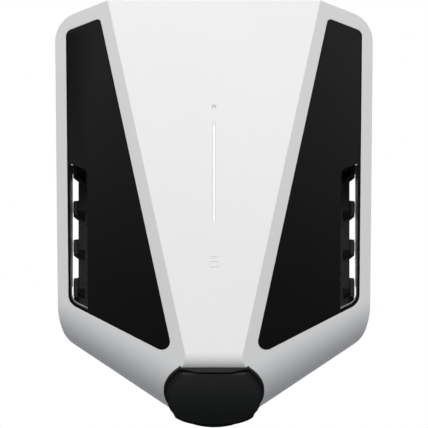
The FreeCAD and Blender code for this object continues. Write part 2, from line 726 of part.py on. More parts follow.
def unit_rear_cover():
    """Flat black lid that closes the electronics unit towards the back plate."""
    gap = COVER_WALL + UNIT_GAP + UNIT_WALL + FIT_GAP
    plate = cover_form(gap).common(slab(REAR_COVER_DEPTH, REAR_COVER_DEPTH + REAR_COVER_THICKNESS))
    half = DUCT_INNER_X - UNIT_WALL - 1 - FIT_GAP
    plate = plate.common(block(-half, half, 0, 100, BELLY_TIP_Z, TOP_Z))
    connector = block(-CONNECTOR_HALF - FIT_GAP, CONNECTOR_HALF + FIT_GAP, 0, 60,
                      CONNECTOR_Z - CONNECTOR_HEIGHT / 2 - FIT_GAP, CONNECTOR_Z + CONNECTOR_HEIGHT / 2 + FIT_GAP)
    shape = plate.cut(connector)
    for x, z in rear_screw_places():
        shape = shape.cut(rod(REAR_SCREW_DIAMETER / 2 + 0.1, V(x, -REAR_COVER_DEPTH + 1, z), V(0, -1, 0), 6))
    for x, z in fixing_places():
        foot = V(x, -REAR_COVER_DEPTH + 1, z)
        shape = shape.cut(rod(FIXING_HEAD / 2 + BOSS_WALL + FIT_GAP, foot, V(0, -1, 0), 6))
    posts = []
    near = REAR_COVER_DEPTH + REAR_COVER_THICKNESS
    for x, z in board_screw_places():
        post = rod(3.2, V(x, -near + 0.5, z), V(0, -1, 0), BOARD_DEPTH - near + 0.5)
        posts.append(post.cut(rod(BOARD_SCREW_DIAMETER / 2 + 0.02, V(x, -near, z), V(0, -1, 0), 20)))
    shape = fuse_all([shape] + posts)
    for x, z in board_screw_places():
        shape = shape.cut(rod(BOARD_SCREW_DIAMETER / 2 + 0.02, V(x, -near, z), V(0, -1, 0), 20))
    return shape


def rear_screw_places():
    places = []
    for side in (-1, 1):
        for x, z in ((REAR_SCREW_X, REAR_SCREW_TOP_Z), (REAR_SCREW_X, REAR_SCREW_MIDDLE_Z),
                     (REAR_SCREW_LOW_X, REAR_SCREW_LOW_Z)):
            places.append((side * x, z))
    return places


def board_screw_places():
    return [(side * BOARD_SCREW_X, z) for side in (-1, 1) for z in (BOARD_SCREW_TOP_Z, BOARD_SCREW_LOW_Z)]


def screw(diameter, head, head_height, length):
    """Pan-head screw in its own frame: the head rises along z and the shank hangs below it."""
    top = Part.makeCylinder(head / 2, head_height)
    top = top.makeFillet(head_height * 0.45, [top.Edges[0]])
    shank = rod(diameter / 2, V(0, 0, -length), V(0, 0, 1), length)
    shape = top.fuse(shank).removeSplitter()
    for size in ((head * 0.62, head * 0.16), (head * 0.16, head * 0.62)):
        corner = V(-size[0] / 2, -size[1] / 2, head_height * 0.5)
        shape = shape.cut(Part.makeBox(size[0], size[1], head_height, corner))
    return shape


def screws(places, depth, head_up, **sizes):
    """Group of equal screws at x, z places, their heads facing the room (1) or the wall (-1)."""
    shapes = []
    for x, z in places:
        up = V(0, 0, 1)
        outward = V(0, -head_up, 0)
        shapes.append(place(screw(**sizes), V(x, -depth, z), up, outward))
    return Part.makeCompound(shapes)


def rear_cover_screws():
    return screws(rear_screw_places(), REAR_COVER_DEPTH, -1, diameter=REAR_SCREW_DIAMETER,
                  head=REAR_SCREW_DIAMETER * 1.9, head_height=1.8, length=9.0)


def backplate():
    """Black wall plate with castellated side rims, cable inlets and the wiring chamber's wall."""
    face = Part.Face(Part.Wire(outline_edges(PLATE_INSET)))
    plate = prism(face, 0, PLATE_THICKNESS)
    rim = prism(face, 0, PLATE_RIM_HEIGHT)
    rim = rim.cut(prism(Part.Face(Part.Wire(outline_edges(PLATE_INSET + PLATE_RIM_WALL))), -1, 100))
    beside_ducts = block(-HALF_WIDTH_TOP, HALF_WIDTH_TOP, 0, 30, DUCT_LOW_Z + DUCT_CORNER, DUCT_TOP_Z + 4)
    sides = rim.common(beside_ducts)
    low_rim = rim.cut(slab(PLATE_RIM_HEIGHT / 2, 2 * PLATE_RIM_HEIGHT))
    wall = chamber_wall(0, PLATE_THICKNESS - 0.5, CHAMBER_WALL_HEIGHT)
    pieces = [plate, sides, low_rim, wall]
    for side in (-1, 1):
        for index in range(4):
            pieces.append(on_side(side, notch_gusset(index)))
    for x, z in wall_screw_places():
        pieces.append(rod(SCREW_HOLE_DIAMETER, V(x, -PLATE_THICKNESS + 0.5, z), V(0, -1, 0), 3.0))
    for x, z in fixing_places():
        boss = rod(FIXING_DIAMETER, V(x, -PLATE_THICKNESS + 0.5, z), V(0, -1, 0),
                   UNIT_REAR_DEPTH - PLATE_THICKNESS + 0.5 - FIT_GAP)
        pieces.append(boss)
    for x, z, diameter in inlets():
        pieces.append(rod(diameter / 2 + 2.0, V(x, -PLATE_THICKNESS + 0.5, z), V(0, -1, 0), 3.0))
    shape = fuse_all(pieces)
    tools = []
    for side in (-1, 1):
        for index in range(3):
            tools.append(on_side(side, side_notch(index)))
    for x, z in wall_screw_places():
        tools.append(rod(SCREW_HOLE_DIAMETER / 2, V(x, 1, z), V(0, -1, 0), 20))
    for x, z, diameter in inlets():
        tools.append(rod(diameter / 2, V(x, 1, z), V(0, -1, 0), 20))
    for x, z in fixing_places():
        tools.append(rod(FIXING_DIAMETER / 2 + 0.02, V(x, -PLATE_THICKNESS - 1, z), V(0, -1, 0), 30))
    return cut_all(shape, tools)


def chamber_wall(grow, depth0, depth1):
    """Ring round the wiring chamber."""
    def face(inset):
        half = CHAMBER_HALF_WIDTH - inset
        low = CHAMBER_LOW_Z + inset
        high = CHAMBER_TOP_Z - inset
        turn = CHAMBER_CORNER - inset
        corners = [(-half, low, turn), (half, low, turn), (half, high, turn), (-half, high, turn)]
        return rounded_face(corners, front_plane)
    return prism(face(-grow), depth0, depth1).cut(prism(face(CHAMBER_WALL + grow), -1, 100))


def wall_screw_places():
    half = SCREW_SPACING_X / 2
    return [(side * half, SCREW_LOW_Z + level * SCREW_SPACING_Z) for side in (-1, 1) for level in (0, 1)]


def inlets():
    return [(0, CABLE_Z, CABLE_HOLE_DIAMETER), (SIGNAL_X, CABLE_Z, SIGNAL_HOLE_DIAMETER)]


def side_notch(index):
    """One notch of the right side rim, with a wider ledge in its front half."""
    top = NOTCH_TOP_Z - index * NOTCH_PITCH
    low = top - NOTCH_HEIGHT
    edge = HALF_WIDTH_TOP - PLATE_INSET
    deep = edge - NOTCH_DEPTH
    corners = [(edge + 5, top + 4, 0), (deep, top - NOTCH_SLANT, 0),
               (deep, low + 0.5, 0), (edge + 5, low - 0.5, 0)]
    through = prism(rounded_face(corners, front_plane), -1, 30)
    ledge_deep = deep - NOTCH_LEDGE
    corners = [(edge + 5, top + 6, 0), (ledge_deep, top - NOTCH_SLANT + 1.2, 0),
               (ledge_deep, low - 0.6, 0), (edge + 5, low - 1.6, 0)]
    return through.fuse(prism(rounded_face(corners, front_plane), PLATE_RIM_HEIGHT * 0.55, 30))


def notch_gusset(index):
    """Slanted rib that braces the right side rim beside each notch."""
    high = NOTCH_TOP_Z - index * NOTCH_PITCH + GUSSET_RISE
    outer = HALF_WIDTH_TOP - PLATE_INSET - PLATE_RIM_WALL + 0.5
    inner = outer - GUSSET_REACH
    foot = -PLATE_THICKNESS + 0.5
    points = [V(outer, foot, high), V(outer, -PLATE_RIM_HEIGHT, high), V(inner, foot, high),
              V(inner, foot, high - GUSSET_HEIGHT)]
    return tetrahedron(points)


def tetrahedron(points):
    faces = []
    for skipped in range(4):
        corners = [point for index, point in enumerate(points) if index != skipped]
        faces.append(Part.Face(Part.makePolygon(corners + [corners[0]])))
    return Part.Solid(Part.Shell(faces))


def chamber_seal():
    """Rubber ring between the wiring chamber's wall and the unit's rear cover."""
    return chamber_wall(-0.2, CHAMBER_WALL_HEIGHT, REAR_COVER_DEPTH)


def grommet(x, diameter, bore):
    """Rubber grommet that snaps into an inlet hole; bore 0 leaves its skin closed."""
    seat = PLATE_THICKNESS + 2.5
    shape = rod(diameter / 2 - 0.1, V(x, -0.2, CABLE_Z), V(0, -1, 0), GROMMET_LENGTH)
    flange = rod(diameter / 2 + 1.8, V(x, -seat - 0.1, CABLE_Z), V(0, -1, 0), GROMMET_LENGTH - seat + 0.1)
    flange = flange.makeFillet(0.8, [flange.Edges[0]])
    shape = shape.fuse(flange)
    if bore > 0:
        shape = shape.cut(rod(bore / 2, V(x, 1, CABLE_Z), V(0, -1, 0), 30))
    else:
        shape = shape.cut(rod(diameter / 2 - 2.4, V(x, 1, CABLE_Z), V(0, -1, 0), GROMMET_LENGTH - 1.2))
    return shape.removeSplitter()


def cable_grommet():
    return grommet(0, CABLE_HOLE_DIAMETER, CABLE_DIAMETER)


def signal_grommet():
    return grommet(SIGNAL_X, SIGNAL_HOLE_DIAMETER, 0)


def clamp_places():
    return [(-CLAMP_HALF + 4.0, CLAMP_Z), (CLAMP_HALF - 4.0, CLAMP_Z)]


def strain_relief_clamp():
    """Saddle that presses the supply cable against the plate below its inlet."""
    near = PLATE_THICKNESS
    bar = block(-CLAMP_HALF, CLAMP_HALF, near, near + CLAMP_HEIGHT, CLAMP_Z - 4, CLAMP_Z + 4)
    edges = [e for e in bar.Edges if abs(e.Vertexes[0].Z - e.Vertexes[-1].Z) > 1]
    bar = bar.makeFillet(2.0, edges)
    tunnel = rod(CABLE_DIAMETER / 2 - 0.5, V(0, -near - 1.5, CLAMP_Z - 10), V(0, 0, 1), 20)
    half = CABLE_DIAMETER / 2 - 0.5
    low = block(-half, half, 0, near + 1.5, CLAMP_Z - CLAMP_HEIGHT, CLAMP_Z + CLAMP_HEIGHT)
    shape = bar.cut(tunnel).cut(low)
    for x, z in clamp_places():
        shape = shape.cut(rod(1.9, V(x, 0, z), V(0, -1, 0), 30))
    return shape


def clamp_screws():
    return screws(clamp_places(), PLATE_THICKNESS + CLAMP_HEIGHT, 1, diameter=3.5, head=6.4, head_height=2.4,
                  length=CLAMP_HEIGHT)


def pole_x(index):
    return (index - (POLES - 1) / 2) * POLE_PITCH


def terminal_block():
    """Five-pole supply terminal with a screw well and a wire funnel for each pole."""
    half = POLES * POLE_PITCH / 2
    near = PLATE_THICKNESS
    high = near + TERMINAL_HEIGHT
    body = block(-half, half, near, high, TERMINAL_Z - 10, TERMINAL_Z + 10)
    step = block(-half - 1, half + 1, high - 5, high + 1, TERMINAL_Z + 4, TERMINAL_Z + 11)
    shape = body.cut(step)
    for index in range(POLES):
        x = pole_x(index)
        shape = shape.cut(rod(3.2, V(x, -high - 1, TERMINAL_Z - 2), V(0, 1, 0), 8))
        funnel = Part.makeCone(3.6, 2.4, 3, V(x, -near - 6, TERMINAL_Z + 10.01), V(0, 0, -1))
        shape = shape.cut(funnel)
        shape = shape.cut(rod(2.4, V(x, -near - 6, TERMINAL_Z + 8), V(0, 0, -1), 9))
        if index:
            x = x - POLE_PITCH / 2
            shape = shape.cut(block(x - 0.5, x + 0.5, high - 7, high + 1, TERMINAL_Z - 11, TERMINAL_Z + 11))
    return shape


def terminal_screws():
    places = [(pole_x(index), TERMINAL_Z - 2) for index in range(POLES)]
    return screws(places, PLATE_THICKNESS + TERMINAL_HEIGHT - 6.2, 1, diameter=4.0, head=5.6, head_height=2.6,
                  length=0.8)


def plate_connector():
    """Female half of the connector that the unit plugs into, fixed on the back plate."""
    near = PLATE_THICKNESS
    high = near + CONNECTOR_SEAT
    shape = block(-CONNECTOR_HALF, CONNECTOR_HALF, near, high, CONNECTOR_Z - 9, CONNECTOR_Z + 9)
    edges = [e for e in shape.Edges if abs(e.Vertexes[0].Y - e.Vertexes[-1].Y) > 1]
    shape = shape.makeFillet(2.0, edges)
    for index in range(POLES):
        x = pole_x(index) * 0.9
        shape = shape.cut(block(x - 2.6, x + 2.6, near + 3, high + 1, CONNECTOR_Z - 1.2, CONNECTOR_Z + 1.2))
    return shape


def unit_connector():
    """Male half of the same connector, set in the unit's rear cover, with five blades."""
    seat = PLATE_THICKNESS + CONNECTOR_SEAT + FIT_GAP
    half = CONNECTOR_HALF
    height = CONNECTOR_HEIGHT / 2
    body = block(-half, half, seat, BOARD_DEPTH, CONNECTOR_Z - height, CONNECTOR_Z + height)
    blades = []
    for index in range(POLES):
        x = pole_x(index) * 0.9
        blades.append(block(x - 2.2, x + 2.2, seat - 9, seat + 1, CONNECTOR_Z - 0.5, CONNECTOR_Z + 0.5))
    return fuse_all([body] + blades)


def power_board():
    """Main circuit board, with its corner screw holes."""
    corners = [(-BOARD_HALF, BOARD_LOW_Z, 3), (BOARD_HALF, BOARD_LOW_Z, 3), (BOARD_HALF, BOARD_TOP_Z, 3),
               (-BOARD_HALF, BOARD_TOP_Z, 3)]
    board = prism(rounded_face(corners, front_plane), BOARD_DEPTH, BOARD_DEPTH + BOARD_THICKNESS)
    for x, z in board_screw_places():
        board = board.cut(rod(BOARD_SCREW_DIAMETER / 2 + 0.2, V(x, -BOARD_DEPTH + 1, z), V(0, -1, 0), 5))
    return board


def board_screws():
    return screws(board_screw_places(), BOARD_DEPTH + BOARD_THICKNESS, 1, diameter=BOARD_SCREW_DIAMETER,
                  head=5.4, head_height=2.0, length=6.0)


def power_relays():
    """Row of relays that switch the phases."""
    shapes = []
    near = BOARD_DEPTH + BOARD_THICKNESS
    for index in range(RELAYS):
        x = (index - (RELAYS - 1) / 2) * RELAY_PITCH
        can = block(x - 10, x + 10, near, near + RELAY_HEIGHT, RELAY_Z - 15, RELAY_Z + 15)
        edges = [e for e in can.Edges if abs(e.Vertexes[0].Y - e.Vertexes[-1].Y) > 1]
        shapes.append(can.makeFillet(1.2, edges))
    return Part.makeCompound(shapes)


def fault_current_sensor():
    """Ring core that the phase leads pass through."""
    near = BOARD_DEPTH + BOARD_THICKNESS
    ring = rod(SENSOR_RADIUS, V(0, -near, SENSOR_Z), V(0, -1, 0), SENSOR_HEIGHT)
    ring = ring.makeFillet(2.0, [ring.Edges[0]])
    return ring.cut(rod(SENSOR_BORE / 2, V(0, 0, SENSOR_Z), V(0, -1, 0), 100))


def control_board():
    """Small board behind the panel that carries the indicator lamps and the radio."""
    low = -LIGHT_PIECE_DEPTH - 0.3 - BOARD_THICKNESS
    board = Part.makeBox(2 * CONTROL_HALF, CONTROL_TOP - CONTROL_LOW, BOARD_THICKNESS,
                         V(-CONTROL_HALF, CONTROL_LOW, low))
    edges = [e for e in board.Edges if abs(e.Vertexes[0].Z - e.Vertexes[-1].Z) > 1]
    return on_panel(board.makeFillet(2.5, edges))


def light_guide():
    """Clear bar that carries the indicator light through the panel, with a flange behind the shell."""
    seat = -(COVER_WALL + UNIT_GAP + UNIT_WALL)
    bar = light_slot(0, -LIGHT_PIECE_DEPTH, -0.1)
    flange = light_slot(1.5, -LIGHT_PIECE_DEPTH, seat - 0.1)
    return on_panel(bar.fuse(flange).removeSplitter())


def sensor_lens():
    """Small clear lens of the light sensor above the bar."""
    seat = -(COVER_WALL + UNIT_GAP + UNIT_WALL)
    pin = lens_hole(0, -LIGHT_PIECE_DEPTH, -0.1)
    pin = pin.fuse(lens_hole(1.2, -LIGHT_PIECE_DEPTH, seat - 0.1)).removeSplitter()
    dimple = Part.makeSphere(3.0, V(0, LENS_HEIGHT, 2.6))
    return on_panel(pin.cut(dimple))


def socket_housing():
    """Tube of the socket with its collar, hinge hood, hinge knuckles and guide boss for the lock."""
    outer = OPENING_RADIUS + SOCKET_WALL
    tube = d_prism(outer, OPENING_FLAT + SOCKET_WALL, -SOCKET_LENGTH, collar_top())
    collar = d_prism(COLLAR_RADIUS, COLLAR_FLAT, COLLAR_SEAT, collar_top())
    axis_t, axis_w = hinge_axis()
    boss = rod(LOCK_PIN_RADIUS + BOSS_WALL, V(0, OPENING_FLAT + 0.5, -LOCK_DISTANCE), V(0, 1, 0), LOCK_BOSS_HEIGHT)
    shape = fuse_all([tube, collar, hinge_hood(), boss])
    groove = 2 * math.sqrt(FLAP_RADIUS ** 2 - axis_t ** 2) + 2.0
    tools = [d_prism(OPENING_RADIUS, OPENING_FLAT - HINGE_RADIUS, -SOCKET_LENGTH - 1, collar_top() + 0.01)]
    tools.append(d_prism(OPENING_RADIUS, OPENING_FLAT, -SOCKET_LENGTH - 1, COLLAR_SEAT))
    tools.append(rod(flap_swing() + FLAP_GAP, V(-groove / 2, axis_t, axis_w), V(1, 0, 0), groove))
    shape = cut_all(shape, tools)
    knuckle = rod(KNUCKLE_RADIUS, V(-KNUCKLE_HALF, axis_t, axis_w), V(1, 0, 0), 2 * KNUCKLE_HALF)
    web = Part.makeBox(2 * KNUCKLE_HALF, HINGE_WEB, axis_w - FLAP_GAP - COLLAR_SEAT,
                       V(-KNUCKLE_HALF, axis_t - HINGE_WEB_TOP - HINGE_WEB, COLLAR_SEAT))
    slot = Part.makeBox(2 * SPRING_HALF, 3 * HINGE_RADIUS, 20,
                        V(-SPRING_HALF, axis_t - 1.5 * HINGE_RADIUS, collar_top() + 0.2))
    shape = fuse_all([shape, knuckle.fuse(web).cut(slot)])
    bore = rod(HINGE_PIN_RADIUS + HINGE_FIT, V(-COLLAR_RADIUS, axis_t, axis_w), V(1, 0, 0), 2 * COLLAR_RADIUS)
    guide = rod(LOCK_PIN_RADIUS + LOCK_FIT, V(0, INSERT_FLAT - 5, -LOCK_DISTANCE), V(0, 1, 0), SOCKET_LENGTH)
    return on_socket(cut_all(shape, [bore, guide]))


def hinge_hood():
    """Ridge on the collar's flat side that hides the hinge: high in the middle, low at its ends."""
    low = COLLAR_SEAT + COLLAR_THICKNESS / 2
    high = collar_top() + HOOD_HEIGHT
    corners = [(-HOOD_HALF_LOW, low, 0), (HOOD_HALF_LOW, low, 0), (HOOD_HALF_LOW, collar_top(), 0),
               (HOOD_HALF_TOP, high, 9.0), (-HOOD_HALF_TOP, high, 9.0), (-HOOD_HALF_LOW, collar_top(), 0)]
    face = rounded_face(corners, lambda point: V(point.x, HOOD_LOW, point.y))
    ridge = face.extrude(V(0, COLLAR_FLAT - HOOD_LOW, 0))
    return ridge.common(d_prism(COLLAR_RADIUS, COLLAR_FLAT, low - 1, high + 1))


def flap_swing():
    """Radius that the flap's upper corner sweeps round the hinge."""
    axis_t, axis_w = hinge_axis()
    height = collar_top() + FLAP_GAP + FLAP_CROWN_HEIGHT
    reach = FLAP_FLAT - CROWN_CENTRE
    corner_w = height - FLAP_CROWN_RADIUS + math.sqrt(FLAP_CROWN_RADIUS ** 2 - reach ** 2)
    return math.hypot(FLAP_FLAT - axis_t, corner_w - axis_w)


def collar_top():
    return COLLAR_SEAT + COLLAR_THICKNESS


def hinge_axis():
    """Height and distance of the flap's hinge in the socket's frame."""
    return FLAP_FLAT - HINGE_RADIUS, collar_top() + FLAP_GAP + HINGE_RADIUS


def contact_places():
    """Name, x, y, bore and outer diameter of each contact in the socket's frame."""
    power = (POWER_CONTACT_BORE, POWER_CONTACT_OUTER)
    signal = (SIGNAL_CONTACT_BORE, SIGNAL_CONTACT_OUTER)
    return [("contact_earth", 0, 0) + power,
            ("contact_line_1", CONTACT_SIDE_X, 0) + power,
            ("contact_neutral", -CONTACT_SIDE_X, 0) + power,
            ("contact_line_2", CONTACT_LOW_X, -CONTACT_LOW_Y) + power,
            ("contact_line_3", -CONTACT_LOW_X, -CONTACT_LOW_Y) + power,
            ("contact_pilot", CONTACT_SIGNAL_X, CONTACT_SIGNAL_Y) + signal,
            ("contact_proximity", -CONTACT_SIGNAL_X, CONTACT_SIGNAL_Y) + signal]


def socket_insert():
    """Insulating core of the socket with seven bores, standing on a base that closes the tube."""
    base = d_prism(OPENING_RADIUS - 0.1, OPENING_FLAT - 0.1, -SOCKET_LENGTH, -SOCKET_LENGTH + INSERT_BASE)
    core = d_prism(INSERT_RADIUS, INSERT_FLAT, -SOCKET_LENGTH + INSERT_BASE - 0.5, -INSERT_RECESS)
    shape = fuse_all([base, core])
    tools = []
    for name, x, y, bore, outer in contact_places():
        tools.append(rod(outer / 2 + CONTACT_GAP, V(x, y, -SOCKET_LENGTH - 1), V(0, 0, 1), SOCKET_LENGTH - 7))
        tools.append(rod(bore / 2 + 0.3, V(x, y, -20), V(0, 0, 1), 30))
        sink = V(x, y, -INSERT_RECESS - 0.79)
        tools.append(Part.makeCone(bore / 2 + 0.3, bore / 2 + 1.1, 0.8, sink, V(0, 0, 1)))
    return on_socket(cut_all(shape, tools))


def contact(index):
    """Slit contact sleeve with a closed crimp tail."""
    name, x, y, bore, outer = contact_places()[index]
    low = -SOCKET_LENGTH - 6
    sleeve = rod(outer / 2, V(x, y, low), V(0, 0, 1), CONTACT_LENGTH)
    sleeve = sleeve.cut(rod(bore / 2, V(x, y, low + 14), V(0, 0, 1), CONTACT_LENGTH))
    sleeve = sleeve.cut(rod(bore / 2 - 0.4, V(x, y, low - 1), V(0, 0, 1), 6))
    slit = Part.makeBox(outer + 1, 0.7, 15, V(x - outer / 2 - 0.5, y - 0.35, low + CONTACT_LENGTH - 15))
    return on_socket(sleeve.cut(slit))


def socket_seal():
    """Flat rubber ring under the socket's collar, in the recess of the cover."""
    low = COLLAR_SEAT - COLLAR_SEAL
    outer = d_prism(COLLAR_RADIUS, COLLAR_FLAT, low, COLLAR_SEAT)
    bore = SOCKET_WALL + 0.1
    inner = d_prism(OPENING_RADIUS + bore, OPENING_FLAT + bore, low - 1, COLLAR_SEAT + 1)
    return on_socket(outer.cut(inner))


def flap():
    """Cap over the socket: D-shaped, with crowned front, finger lip and hidden hinge barrels."""
    low = collar_top() + FLAP_GAP
    axis_t, axis_w = hinge_axis()
    skin = crown_block(low + FLAP_CROWN_HEIGHT)
    lip = Part.makeBox(4 * FLAP_RADIUS, FLAP_RADIUS, 2 * LIP_THICKNESS,
                       V(-2 * FLAP_RADIUS, LIP_CORNER_Y - FLAP_RADIUS, low - LIP_THICKNESS))
    skin = skin.fuse(lip)
    cap = flap_face(axis_t, low).extrude(V(0, 0, 2 * FLAP_CROWN_HEIGHT)).common(skin)
    edge = flap_face(FLAP_FLAT, axis_w).extrude(V(0, 0, 2 * FLAP_CROWN_HEIGHT)).common(skin)
    hollow = d_prism(OPENING_RADIUS - 4.5, OPENING_FLAT - 7.0, low - 1, low + FLAP_CROWN_HEIGHT / 2)
    half = math.sqrt(FLAP_RADIUS ** 2 - FLAP_FLAT ** 2)
    barrel = rod(HINGE_RADIUS, V(-half, axis_t, axis_w), V(1, 0, 0), 2 * half)
    shape = fuse_all([cap, edge, barrel]).cut(hollow)
    bore = rod(HINGE_PIN_RADIUS + HINGE_FIT, V(-HINGE_PIN_HALF - 0.2, axis_t, axis_w), V(1, 0, 0),
               2 * HINGE_PIN_HALF + 0.4)
    room = KNUCKLE_HALF + FLAP_GAP
    around = KNUCKLE_RADIUS + FLAP_GAP
    clearance = rod(around, V(-room, axis_t, axis_w), V(1, 0, 0), 2 * room)
    web_low = HINGE_WEB_TOP + HINGE_WEB + FLAP_GAP
    below = Part.makeBox(2 * room, web_low + 2 * HINGE_RADIUS, 4 * HINGE_RADIUS,
                         V(-room, axis_t - web_low, axis_w - 4 * HINGE_RADIUS))
    return on_socket(cut_all(shape, [bore, clearance, below]))


def flap_face(flat, at):
    """D outline whose foot narrows by a step into the finger lip."""
    radius = FLAP_RADIUS
    half = math.sqrt(radius * radius - flat * flat)
    side_y = -math.sqrt(radius * radius - LIP_TOP_X * LIP_TOP_X)
    corners = [V(half, flat, at), V(-half, flat, at), V(-LIP_TOP_X, side_y, at),
               V(-LIP_CORNER_X, LIP_CORNER_Y, at), V(LIP_CORNER_X, LIP_CORNER_Y, at),
               V(LIP_TOP_X, side_y, at)]
    edges = [line(corners[0], corners[1])]
    edges.append(arc(corners[1], V(-radius, 0, at), corners[2]))
    edges.append(line(corners[2], corners[3]))
    edges.append(arc(corners[3], V(0, -LIP_REACH, at), corners[4]))
    edges.append(line(corners[4], corners[5]))
    edges.append(arc(corners[5], V(radius, 0, at), corners[0]))
    return Part.Face(Part.Wire(edges))


def crown_block(height):
    """Long round bar across the flap whose skin is the flap's crowned front."""
    centre = V(-2 * FLAP_RADIUS, CROWN_CENTRE, height - FLAP_CROWN_RADIUS)
    return rod(FLAP_CROWN_RADIUS, centre, V(1, 0, 0), 4 * FLAP_RADIUS)


def flap_seal():
    """Rubber ring on the flap's inner face that closes the opening."""
    low = -1.6
    high = collar_top() + FLAP_GAP
    flat = OPENING_FLAT - HINGE_RADIUS - 0.8
    ring = d_prism(OPENING_RADIUS - 0.5, flat, low, high)
    return on_socket(ring.cut(d_prism(OPENING_RADIUS - 3.3, flat - 2.8, low - 1, high + 1)))


def flap_hinge_pin():
    axis_t, axis_w = hinge_axis()
    end = V(-HINGE_PIN_HALF, axis_t, axis_w)
    return on_socket(rod(HINGE_PIN_RADIUS, end, V(1, 0, 0), 2 * HINGE_PIN_HALF))


def flap_spring():
    """Torsion spring on the hinge pin, one leg on the collar."""
    axis_t, axis_w = hinge_axis()
    pitch = (2 * SPRING_HALF - 1.2) / SPRING_TURNS
    path = Part.makeHelix(pitch, pitch * SPRING_TURNS, SPRING_RADIUS)
    profile = Part.Wire(Part.makeCircle(SPRING_WIRE / 2, V(SPRING_RADIUS, 0, 0), V(0, 1, 0)))
    coil = Part.Wire(path).makePipeShell([profile], True, True)
    shape = place(coil, V(-pitch * SPRING_TURNS / 2, axis_t, axis_w), V(0, 1, 0), V(1, 0, 0))
    return on_socket(shape)


def lock_pin():
    """Round bolt of the plug lock, drawn back into its guide."""
    tip = OPENING_FLAT + 0.2
    pin = rod(LOCK_PIN_RADIUS, V(0, tip, -LOCK_DISTANCE), V(0, 1, 0), LOCK_BOSS_HEIGHT + 1.0)
    pin = pin.makeChamfer(0.6, [pin.Edges[2]])
    return on_socket(pin)


def lock_actuator():
    """Geared motor housing of the plug lock, standing on the socket tube."""
    seat = OPENING_FLAT + SOCKET_WALL
    high = seat + ACTUATOR_HEIGHT
    near = -LOCK_DISTANCE + ACTUATOR_HALF_DEPTH
    box = Part.makeBox(2 * ACTUATOR_HALF, high - seat, 2 * ACTUATOR_HALF_DEPTH,
                       V(-ACTUATOR_HALF, seat, near - 2 * ACTUATOR_HALF_DEPTH))
    edges = [e for e in box.Edges if abs(e.Vertexes[0].Z - e.Vertexes[-1].Z) > 1]
    box = box.makeFillet(1.5, edges)
    foot = V(0, seat - 1, -LOCK_DISTANCE)
    room = rod(LOCK_PIN_RADIUS + BOSS_WALL + FIT_GAP, foot, V(0, 1, 0), LOCK_BOSS_HEIGHT + 3.0)
    return on_socket(box.cut(room))


PIECES = {
    "front_cover": front_cover,
    "unit_front": unit_front,
    "unit_rear_cover": unit_rear_cover,
    "rear_cover_screws": rear_cover_screws,
    "unit_fixing_screws": unit_fixing_screws,
    "backplate": backplate,
    "chamber_seal": chamber_seal,
    "cable_grommet": cable_grommet,
    "signal_grommet": signal_grommet,
    "strain_relief_clamp": strain_relief_clamp,
    "clamp_screws": clamp_screws,
    "terminal_block": terminal_block,
    "terminal_screws": terminal_screws,
    "plate_connector": plate_connector,
    "unit_connector": unit_connector,
    "power_board": power_board,
    "board_screws": board_screws,
    "power_relays": power_relays,
    "fault_current_sensor": fault_current_sensor,
    "control_board": control_board,
    "light_guide": light_guide,
    "sensor_lens": sensor_lens,
    "socket_housing": socket_housing,
    "socket_insert": socket_insert,
    "socket_seal": socket_seal,
    "flap": flap,
    "flap_seal": flap_seal,
    "flap_hinge_pin": flap_hinge_pin,
    "flap_spring": flap_spring,
    "lock_pin": lock_pin,
    "lock_actuator": lock_actuator,
}


def main():
    os.makedirs("parts", exist_ok=True)
    for name, make in PIECES.items():
        make().exportStep("parts/" + name + ".step")
    for index, row in enumerate(contact_places()):
        contact(index).exportStep("parts/" + row[0] + ".step")


main()
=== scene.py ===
import math

import bpy
import bmesh
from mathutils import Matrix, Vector

bl_info = {
    "name": "EV Wallbox Look",
    "version": (1, 0, 0),
    "blender": (4, 5, 0),
    "location": "View3D > Sidebar > Wallbox",
    "description": "Finishes, lamps and camera for the faceted EV wallbox",
    "category": "Object",
}

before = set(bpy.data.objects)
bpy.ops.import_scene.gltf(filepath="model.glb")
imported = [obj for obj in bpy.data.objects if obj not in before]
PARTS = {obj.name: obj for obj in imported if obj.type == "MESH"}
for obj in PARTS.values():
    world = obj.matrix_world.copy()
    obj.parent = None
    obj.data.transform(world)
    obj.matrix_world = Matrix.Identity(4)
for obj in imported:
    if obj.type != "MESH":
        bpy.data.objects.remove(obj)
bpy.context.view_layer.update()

# Nodes by finish
WHITE_MOULDING = ("front_cover",)
BLACK_MOULDING = ("unit_front", "unit_rear_cover")
SOCKET_MOULDING = ("socket_housing",)
FLAP_MOULDING = ("flap",)
PLATE_MOULDING = ("backplate", "strain_relief_clamp")
RUBBER = ("chamber_seal", "cable_grommet", "signal_grommet", "socket_seal", "flap_seal")
SCREWS = ("rear_cover_screws", "unit_fixing_screws", "clamp_screws", "terminal_screws", "board_screws")
BRIGHT_STEEL = ("flap_hinge_pin", "flap_spring", "lock_pin")
INSULATORS = ("terminal_block", "plate_connector", "unit_connector")
BOARDS = ("power_board", "control_board")
DARK_BLOCKS = ("power_relays", "fault_current_sensor", "lock_actuator")
CORES = ("socket_insert",)
CONTACTS = ("contact_earth", "contact_line_1", "contact_neutral", "contact_line_2", "contact_line_3",
            "contact_pilot", "contact_proximity")

# Socket frame and lens, in metres and radians, as the CAD model has them
SOCKET_Y, SOCKET_Z = -0.085, -0.1055
SOCKET_TILT = math.radians(48.7)
# Radii from the socket axis over which the flap's rim turns to its painted shade
FLAP_SHADE_FROM, FLAP_SHADE_TO = 0.0270, 0.0275
LENS_Z = 0.0641
# Radii over which the lens goes from its painted highlight to its painted shade
LENS_SHADE_FROM, LENS_SHADE_TO = 0.00075, 0.00115
RIB_WAVE = 7000.0  # radians of the rib wave in a metre

